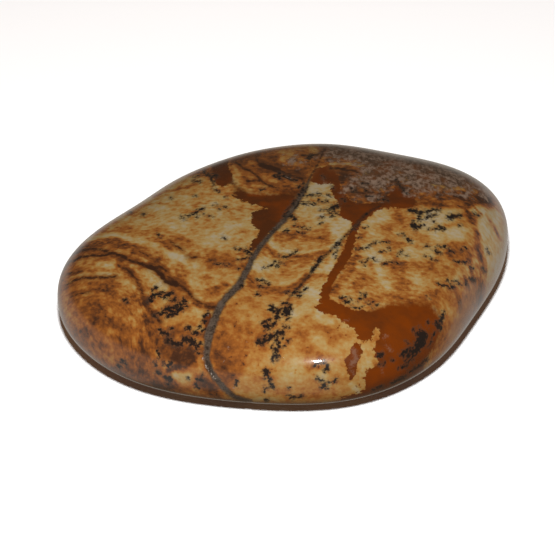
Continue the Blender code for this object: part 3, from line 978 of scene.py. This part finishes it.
class Nodes:
    """Adds nodes to the tree of a material or a world, each with its inputs given as values or as links."""

    def __init__(self, owner):
        owner.use_nodes = True
        self.tree = owner.node_tree

    def feed(self, socket, value):
        """Gives a socket a link, a colour or a number."""
        if isinstance(value, bpy.types.NodeSocket):
            self.tree.links.new(value, socket)
        elif socket.type == "RGBA":
            socket.default_value = (*value[:3], 1.0)
        else:
            socket.default_value = value

    def feed_node(self, name, inputs):
        """Gives the inputs of a node that the tree has from the start."""
        for key, value in inputs.items():
            self.feed(self.tree.nodes[name].inputs[key], value)

    def add(self, kind, inputs, **settings):
        """A new node with its settings and inputs."""
        node = self.tree.nodes.new(kind)
        for key, value in settings.items():
            setattr(node, key, value)
        for key, value in inputs.items():
            self.feed(node.inputs[key], value)
        return node

    def attribute(self, name):
        """A marking of the mesh, by the name of its attribute."""
        return self.add("ShaderNodeAttribute", {}, attribute_name=name).outputs["Fac"]

    def math(self, operation, *values):
        """A sum, a product or the like, of one to three values."""
        return self.add("ShaderNodeMath", dict(enumerate(values)), operation=operation).outputs[0]

    def vector(self, operation, *values):
        """The same, for vectors: the node, which has an output for a vector and one for a value."""
        return self.add("ShaderNodeVectorMath", dict(enumerate(values)), operation=operation)

    def times_plus(self, value, factor, added=0.0):
        """The value times the factor, plus what is added."""
        return self.math("MULTIPLY_ADD", value, factor, added)

    def step(self, value, low, high):
        """0 below low and 1 above high, smooth between."""
        inputs = {"Value": value, "From Min": low, "From Max": high}
        return self.add("ShaderNodeMapRange", inputs, interpolation_type="SMOOTHSTEP").outputs["Result"]

    def mix(self, share, first, second):
        """The first colour where the share is 0, the second where it is 1."""
        return self.add("ShaderNodeMix", {0: share, 6: first, 7: second}, data_type="RGBA").outputs[2]

    def ramp(self, value, stops):
        """A colour for the value, from stops of a position and a colour each."""
        node = self.add("ShaderNodeValToRGB", {"Fac": value})
        elements = node.color_ramp.elements
        elements.remove(elements[-1])
        for place, (position, colour) in enumerate(stops):
            element = elements[0] if place == 0 else elements.new(position)
            element.position = position
            element.color = (*colour[:3], 1.0)
        return node.outputs["Color"]


class JasperNodes(Nodes):
    """The jasper's nodes: the noises in the stone, and a method for each thing that they colour."""

    def __init__(self, material, colours):
        super().__init__(material)
        self.colours = colours
        self.calm = self.attribute("calm")
        metres = self.add("ShaderNodeTexCoord", {}).outputs["Object"]
        millimetres = self.vector("DIVIDE", metres, (MM, MM, MM)).outputs[0]
        places = {"grains": self.vector("MULTIPLY", millimetres, GRAIN_SQUEEZE).outputs[0]}
        self.noises = {
            name: self.noise(places.get(name, millimetres), *settings) for name, settings in NOISES.items()
        }
        self.noises["grains"] = self.times_plus(self.noises["clouds"], GRAIN_CLOUDS, self.noises["grains"])
        # Depths inside the markings, with their borders moved in and out by noise.
        self.depths = {
            marking: self.stirred(self.attribute(marking), amounts) for marking, amounts in BORDERS.items()
        }

    def noise(self, place, scale, detail, roughness, across=None):
        """Noise from -0.5 to 0.5 or so, which changes across the bedding too where it has cells across."""
        inputs = {"Vector": place, "Scale": scale, "Detail": detail, "Roughness": roughness}
        if across is not None:
            inputs["W"] = self.times_plus(self.attribute("bed"), across)
        dimensions = "3D" if across is None else "4D"
        node = self.add("ShaderNodeTexNoise", inputs, noise_dimensions=dimensions)
        return self.math("SUBTRACT", node.outputs["Fac"], 0.5)

    def stirred(self, value, amounts):
        """The value plus some of each noise that is named with its amount."""
        for name, amount in amounts.items():
            value = self.times_plus(self.noises[name], amount, value)
        return value

    def ground(self):
        """Pale to dark by the drawn shade, which streaks and flecks along the bedding and clouds shift."""
        scallops = self.noises["scallops"]
        flecks = self.times_plus(self.noises["flecks"], self.colours.fleck_contrast)
        texture = self.times_plus(self.noises["streaks"], self.colours.streak_contrast, flecks)
        streaky = self.times_plus(self.calm, CALM_STREAKS, 1.0)
        shade = self.times_plus(texture, streaky, self.attribute("shade"))
        cloudy = self.times_plus(self.calm, CALM_CLOUDS, self.colours.cloud_contrast)
        shade = self.times_plus(self.noises["clouds"], cloudy, shade)
        spots = self.math("MULTIPLY", self.step(scallops, *SPOT_EDGE), self.calm)
        shade = self.times_plus(spots, CALM_SPOTS, shade)
        shade = self.times_plus(self.math("MULTIPLY", scallops, self.calm), CALM_SCALLOPS, shade)
        stops = [(position, getattr(self.colours, name)) for position, name in GROUND_COLOURS]
        return self.ramp(self.math("DIVIDE", shade, DARKEST_SHADE), stops)

    def over_with_chestnut(self, colour):
        """Chestnut laid over the colour, with a scalloped border that is wider where it is soft."""
        amount = self.times_plus(self.calm, CHESTNUT_CALM_SCALLOPS, CHESTNUT_SCALLOPS)
        scallops = self.math("MULTIPLY", self.noises["scallops"], amount)
        border = self.times_plus(self.noises["speckles"], CHESTNUT_SPECKLES, scallops)
        inside = self.math("ADD", border, self.attribute("chestnut"))
        begins, full = CHESTNUT_EDGE
        full = self.times_plus(self.attribute("soft"), CHESTNUT_SOFTNESS, full)
        tone = self.stirred(self.attribute("chestnut_tone"), CHESTNUT_NOISES)
        chestnut = self.mix(tone, self.colours.chestnut_light, self.colours.chestnut_dark)
        return self.mix(self.step(inside, begins, full), colour, chestnut)

    def grains(self):
        """Pale grains on a dark ground that has brown patches."""
        patches = self.step(self.stirred(PATCH_LEVEL, PATCH_NOISES), *PATCH_EDGE)
        ground = self.mix(patches, self.colours.grain_dark, self.colours.brown)
        return self.mix(self.step(self.noises["grains"], *GRAIN_EDGE), ground, self.colours.grain_pale)

    def quartz(self):
        """The mottled grey filling of the vein."""
        mottle = self.step(self.stirred(0.0, QUARTZ_NOISES), *QUARTZ_EDGE)
        return self.mix(mottle, self.colours.vein_dark, self.colours.vein_pale)

    def over_with_coats(self, colour):
        """The coats laid over the colour, one after the other."""
        fills = {"grains": self.grains(), "quartz": self.quartz()}
        for marking, begins, full, amount, name in COATS:
            cover = self.step(self.depths[marking], begins, full)
            if amount == "broken":
                amount = self.step(self.noises["scallops"], *BROKEN_EDGE)
            cover = self.times_plus(cover, amount)
            colour = self.mix(cover, colour, fills[name] if name in fills else getattr(self.colours, name))
        return colour

    def roughness_and_relief(self, roughness):
        """The vein is duller, worn and gritty, and the dendrites are a little of both."""
        vein = self.step(self.depths["vein"], *VEIN_EDGE)
        specks = self.step(self.depths["dendrites"], *SPECK_EDGE)
        rough = self.times_plus(specks, SPECKS_ROUGHER, self.times_plus(vein, VEIN_ROUGHER, roughness))
        relief = self.times_plus(vein, VEIN_RELIEF, self.times_plus(self.noises["waves"], WAVES_RELIEF))
        grit = self.math("MULTIPLY", self.noises["speckles"], vein)
        relief = self.times_plus(specks, SPECKS_RELIEF, self.times_plus(grit, VEIN_GRIT_RELIEF, relief))
        inputs = {"Height": relief, "Strength": RELIEF_STRENGTH, "Distance": RELIEF_HEIGHT}
        return rough, self.add("ShaderNodeBump", inputs).outputs["Normal"]


def jasper_material(colours, finish):
    """Polished jasper: the bedded ground, chestnut over it, then the coats, all under one polish."""
    material = bpy.data.materials.new("polished_jasper")
    nodes = JasperNodes(material, colours)
    rough, normal = nodes.roughness_and_relief(finish.roughness)
    inputs = {
        "Base Color": nodes.over_with_coats(nodes.over_with_chestnut(nodes.ground())),
        "Roughness": rough,
        "Normal": normal,
        "IOR": QUARTZ_IOR,
        "Specular IOR Level": finish.sheen,
        "Coat Weight": finish.polish,
        "Coat Roughness": finish.polish_roughness,
    }
    nodes.feed_node("Principled BSDF", inputs)
    return material


def plain_material(name, colour, roughness):
    """One colour and one roughness all over."""
    material = bpy.data.materials.new(name)
    Nodes(material).feed_node("Principled BSDF", {"Base Color": colour, "Roughness": roughness})
    return material


def surroundings(stage):
    """Light from all round: darker behind the stone than behind the camera, and palest from below."""
    world = bpy.data.worlds.new("surroundings")
    nodes = Nodes(world)
    direction = nodes.add("ShaderNodeTexCoord", {}).outputs["Generated"]
    x, y, z = nodes.add("ShaderNodeSeparateXYZ", {0: direction}).outputs
    to_window = nodes.vector("DOT_PRODUCT", direction, WINDOW_DIRECTION).outputs["Value"]
    height = nodes.times_plus(nodes.math("ABSOLUTE", x), SIDE_DROP, z)
    parts = {"x": x, "y": y, "z": z, "to_window": to_window, "height": height}
    rows = {}
    for name, (first, part, low, high, second) in SURROUNDINGS.items():
        colours = (rows[key] if key in rows else getattr(stage, f"{key}_colour") for key in (first, second))
        rows[name] = nodes.mix(nodes.step(parts[part], low, high), *colours)
    nodes.feed_node("Background", {"Color": rows["all_round"]})
    return world


# ---- Settings ----


def colour_property(name, description, default):
    """A colour that the user can set."""
    return FloatVectorProperty(
        name=name, description=description, default=default, subtype="COLOR", size=3, min=0, max=1
    )


def number_property(name, description, default, **options):
    """A number from zero up, with a unit or an upper limit where one is given."""
    return FloatProperty(name=name, description=description, default=default, min=0, **options)


def length_property(name, description, default, **options):
    """A length in metres."""
    return number_property(name, description, default, unit="LENGTH", **options)


def angle_property(name, description, degrees):
    """An angle, given in degrees and kept in radians."""
    return FloatProperty(name=name, description=description, default=radians(degrees), subtype="ANGLE")


class JasperColours(bpy.types.PropertyGroup):
    """Colours of the jasper's minerals"""

    pale: colour_property("Pale", "Palest cream flecks", (0.266, 0.221, 0.140))
    cream: colour_property("Cream", "Cream ground", (0.260, 0.177, 0.064))
    ochre: colour_property("Ochre", "Ochre streaks", (0.240, 0.115, 0.026))
    orange: colour_property("Orange", "Orange-brown streaks", (0.188, 0.062, 0.0108))
    brown: colour_property("Brown", "Brown streaks", (0.102, 0.0329, 0.008))
    umber: colour_property("Umber", "Dark brown ground", (0.0385, 0.015, 0.007))
    chestnut_light: colour_property("Light chestnut", "Chestnut at the front", (0.125, 0.0235, 0.0002))
    chestnut_dark: colour_property("Dark chestnut", "Chestnut at the back", (0.047, 0.0127, 0.0028))
    layer: colour_property("Layer", "Thin dark layers", (0.0244, 0.0094, 0.0047))
    grain_pale: colour_property("Pale grain", "Specks of the granular area", (0.190, 0.130, 0.092))
    grain_dark: colour_property("Dark grain", "Ground of the granular area", (0.049, 0.0255, 0.0135))
    vein_pale: colour_property("Pale quartz", "Light part of the vein", (0.068, 0.050, 0.036))
    vein_dark: colour_property("Dark quartz", "Dark part of the vein", (0.015, 0.0099, 0.007))
    # Pale specks beside the vein: partly pale pits, partly painted glints where the rough vein catches the
    # light.
    pit: colour_property("Pits", "Powdery pits beside the vein", (0.282, 0.244, 0.207))
    vein_border: colour_property("Vein border", "Dark line along the vein", (0.0338, 0.0169, 0.0094))
    halo: colour_property("Halo", "Tint round the dendrites", (0.0517, 0.0329, 0.0207))
    dendrite: colour_property("Dendrite", "Manganese oxide", (0.0085, 0.0061, 0.0052))
    streak_contrast: number_property("Streaks", "Contrast of the bedding", 1.3)
    fleck_contrast: number_property("Flecks", "Contrast of the fine flecks", 1.0)
    cloud_contrast: number_property("Clouds", "Contrast of the soft clouds", 0.5)


class JasperFinish(bpy.types.PropertyGroup):
    """Mesh and polish of the pebble"""

    mesh_lines: IntProperty(
        name="Mesh lines", description="Lines of the mesh across the top", default=313, min=33
    )
    vein_depth: length_property(
        "Vein depth", "How far the vein is worn below the surface", 0.05 * MM, precision=6
    )
    roughness: number_property("Roughness", "Of the stone under its polish", 0.26, max=1)
    sheen: number_property("Sheen", "Soft reflection under the polish", 0.22, max=1)
    polish: number_property("Polish", "Strength of the glossy polish", 0.85, max=1)
    polish_roughness: number_property("Polish roughness", "Blur of the polish", 0.07, max=1)


class JasperStage(bpy.types.PropertyGroup):
    """Floor and lights"""

    floor_size: length_property("Floor", "Side of the floor", 1.6)
    floor_colour: colour_property("Floor colour", "Pale paper", (0.97, 0.99, 1.0))
    lamp_distance: length_property("Lamp distance", "Of both lights from the stone", 0.24)
    key_power: number_property("Key", "Power of the key light", 17.6, unit="POWER")
    key_size: length_property("Key size", "Diameter of the key light", 0.012)
    key_elevation: angle_property("Key elevation", "Above the floor", 43.7)
    key_azimuth: angle_property("Key azimuth", "To the right of the camera", -0.5)
    glint_power: number_property("Glint", "Power of the light in the polish", 2.6, unit="POWER")
    glint_size: length_property("Glint size", "Diameter of the glint light", 0.014)
    glint_elevation: angle_property("Glint elevation", "Above the floor", 30.4)
    glint_azimuth: angle_property("Glint azimuth", "To the right of the camera", 13.5)
    front_colour: colour_property("Front light", "From behind the camera", (0.195, 0.088, 0.044))
    back_colour: colour_property("Back light", "From behind the stone", (0.058, 0.044, 0.030))
    window_colour: colour_property("Window", "From behind the stone on the right", (0.15, 0.24, 0.28))
    left_colour: colour_property("Left light", "From below on the left", (0.50, 0.46, 0.42))
    right_colour: colour_property("Right light", "From below on the right", (0.47, 0.44, 0.41))
    side_colour: colour_property("Side light", "From below, right of the front", (0.42, 0.30, 0.22))
    near_colour: colour_property("Near light", "From below in front", (0.12, 0.080, 0.050))
    far_colour: colour_property("Far light", "From below behind the stone", (0.42, 0.38, 0.33))


# ---- Operators ----


def add_object(name, data):
    """A new object in the scene."""
    new = bpy.data.objects.new(name, data)
    bpy.context.scene.collection.objects.link(new)
    return new


def sheet_object(name, points, marks):
    """A closed body from a grid of points: the sheet of quads, and one flat face across its open edge."""
    rows, columns = points.shape[:2]
    index = np.arange(rows * columns).reshape(rows, columns)
    quads = np.stack([index[:-1, :-1], index[1:, :-1], index[1:, 1:], index[:-1, 1:]], axis=-1)
    border = np.concatenate([index[0, :-1], index[:-1, -1], index[-1, :0:-1], index[:0:-1, 0]])
    mesh = bpy.data.meshes.new(name)
    mesh.from_pydata(points.reshape(-1, 3) * MM, [], [*quads.reshape(-1, 4).tolist(), border.tolist()])
    for key, values in marks.items():
        layer = mesh.attributes.new(key, "FLOAT", "POINT")
        layer.data.foreach_set("value", values.ravel().astype(np.float32))
    mesh.shade_smooth()
    mesh.set_sharp_from_angle(angle=SHARP_EDGE)
    mesh.update()
    return add_object(name, mesh)


class JASPER_OT_add_pebble(bpy.types.Operator):
    """Adds the pebble with its markings in place of the plain solid"""

    bl_idname = "jasper.add_pebble"
    bl_label = "Add Pebble"

    def execute(self, context):
        finish = context.scene.jasper_finish
        line = np.linspace(-1.0, 1.0, finish.mesh_lines)
        turn, reach = square_to_disc(*np.meshgrid(line, line, indexing="ij"))
        low, high = (np.array(corner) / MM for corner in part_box("stone"))
        points = fit_to_box(on_pebble(turn, even_angles(reach)), low, high)
        normals = grid_normals(points)
        marks = markings(*bent_picture(points, normals))
        groove = np.clip(marks["vein"] / GROOVE_SLOPE, 0.0, 1.0) * finish.vein_depth / MM
        stone = sheet_object("jasper_pebble", points - normals * groove[..., None], marks)
        stone.data.materials.append(jasper_material(context.scene.jasper_colours, finish))
        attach(stone, "root")
        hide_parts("stone")
        return {"FINISHED"}


class JASPER_OT_add_stage(bpy.types.Operator):
    """Adds the pale floor, the lights and the camera"""

    bl_idname = "jasper.add_stage"
    bl_label = "Add Stage"

    def execute(self, context):
        scene = context.scene
        stage = scene.jasper_stage
        self.add_floor(stage)
        self.add_lamps(stage)
        scene.world = surroundings(stage)
        scene.camera = self.add_camera()
        scene.view_settings.view_transform = "Standard"
        return {"FINISHED"}

    def add_floor(self, stage):
        """A square of paper for the shadow, kept out of the polish and out of the light on the stone."""
        half = stage.floor_size / 2
        mesh = bpy.data.meshes.new("floor")
        corners = [(-half, -half, 0.0), (half, -half, 0.0), (half, half, 0.0), (-half, half, 0.0)]
        mesh.from_pydata(corners, [], [(0, 1, 2, 3)])
        mesh.materials.append(plain_material("pale_paper", stage.floor_colour, PAPER_ROUGHNESS))
        floor = add_object("floor", mesh)
        floor.visible_glossy = False
        floor.visible_diffuse = False

    def add_lamps(self, stage):
        """A small key light close to the camera, and one that only shows as a glint in the polish."""
        key = self.add_lamp("key", stage)
        key.visible_glossy = False
        glint = self.add_lamp("glint", stage)
        glint.visible_diffuse = False

    def add_lamp(self, name, stage):
        """A disc that faces the stone and gives it the same light at any distance."""
        power, size, elevation, azimuth = (
            getattr(stage, f"{name}_{key}") for key in ("power", "size", "elevation", "azimuth")
        )
        light = bpy.data.lights.new(name, "AREA")
        light.shape = "DISK"
        light.energy = power
        light.size = size
        nodes = Nodes(light)
        falloff = nodes.add("ShaderNodeLightFalloff", {"Strength": 1.0})
        nodes.feed_node("Emission", {"Strength": falloff.outputs["Constant"]})
        direction = Vector((cos(elevation) * sin(azimuth), -cos(elevation) * cos(azimuth), sin(elevation)))
        lamp = add_object(name, light)
        lamp.location = Vector(CAMERA_TARGET) + direction * stage.lamp_distance
        lamp.rotation_euler = direction.to_track_quat("Z", "Y").to_euler()
        return lamp

    def add_camera(self):
        """A camera that looks down at the front of the stone."""
        data = bpy.data.cameras.new("camera")
        data.lens = CAMERA_LENS
        data.sensor_width = CAMERA_SENSOR
        data.clip_start = CAMERA_CLIP
        camera = add_object("camera", data)
        camera.location = Vector(CAMERA_TARGET) + Vector(camera_axes()[-1]) * CAMERA_DISTANCE
        camera.rotation_euler = Euler((pi / 2 - CAMERA_ELEVATION, 0.0, 0.0))
        return camera


class JASPER_PT_panel(bpy.types.Panel):
    """Settings and buttons in the sidebar of the 3D view"""

    bl_label = "Picture Jasper"
    bl_idname = "JASPER_PT_panel"
    bl_space_type = "VIEW_3D"
    bl_region_type = "UI"
    bl_category = "Jasper"

    def draw(self, context):
        for name, group in GROUPS.items():
            box = self.layout.box()
            box.label(text=group.__doc__)
            for key in group.__annotations__:
                box.prop(getattr(context.scene, name), key)
        self.layout.operator(JASPER_OT_add_pebble.bl_idname)
        self.layout.operator(JASPER_OT_add_stage.bl_idname)


GROUPS = {"jasper_colours": JasperColours, "jasper_finish": JasperFinish, "jasper_stage": JasperStage}
CLASSES = (*GROUPS.values(), JASPER_OT_add_pebble, JASPER_OT_add_stage, JASPER_PT_panel)


def register():
    for cls in CLASSES:
        bpy.utils.register_class(cls)
    for name, group in GROUPS.items():
        setattr(bpy.types.Scene, name, PointerProperty(type=group))


def unregister():
    for name in GROUPS:
        delattr(bpy.types.Scene, name)
    for cls in reversed(CLASSES):
        bpy.utils.unregister_class(cls)


def main():
    register()
    bpy.ops.jasper.add_pebble()
    bpy.ops.jasper.add_stage()


if __name__ == "__main__":
    main()
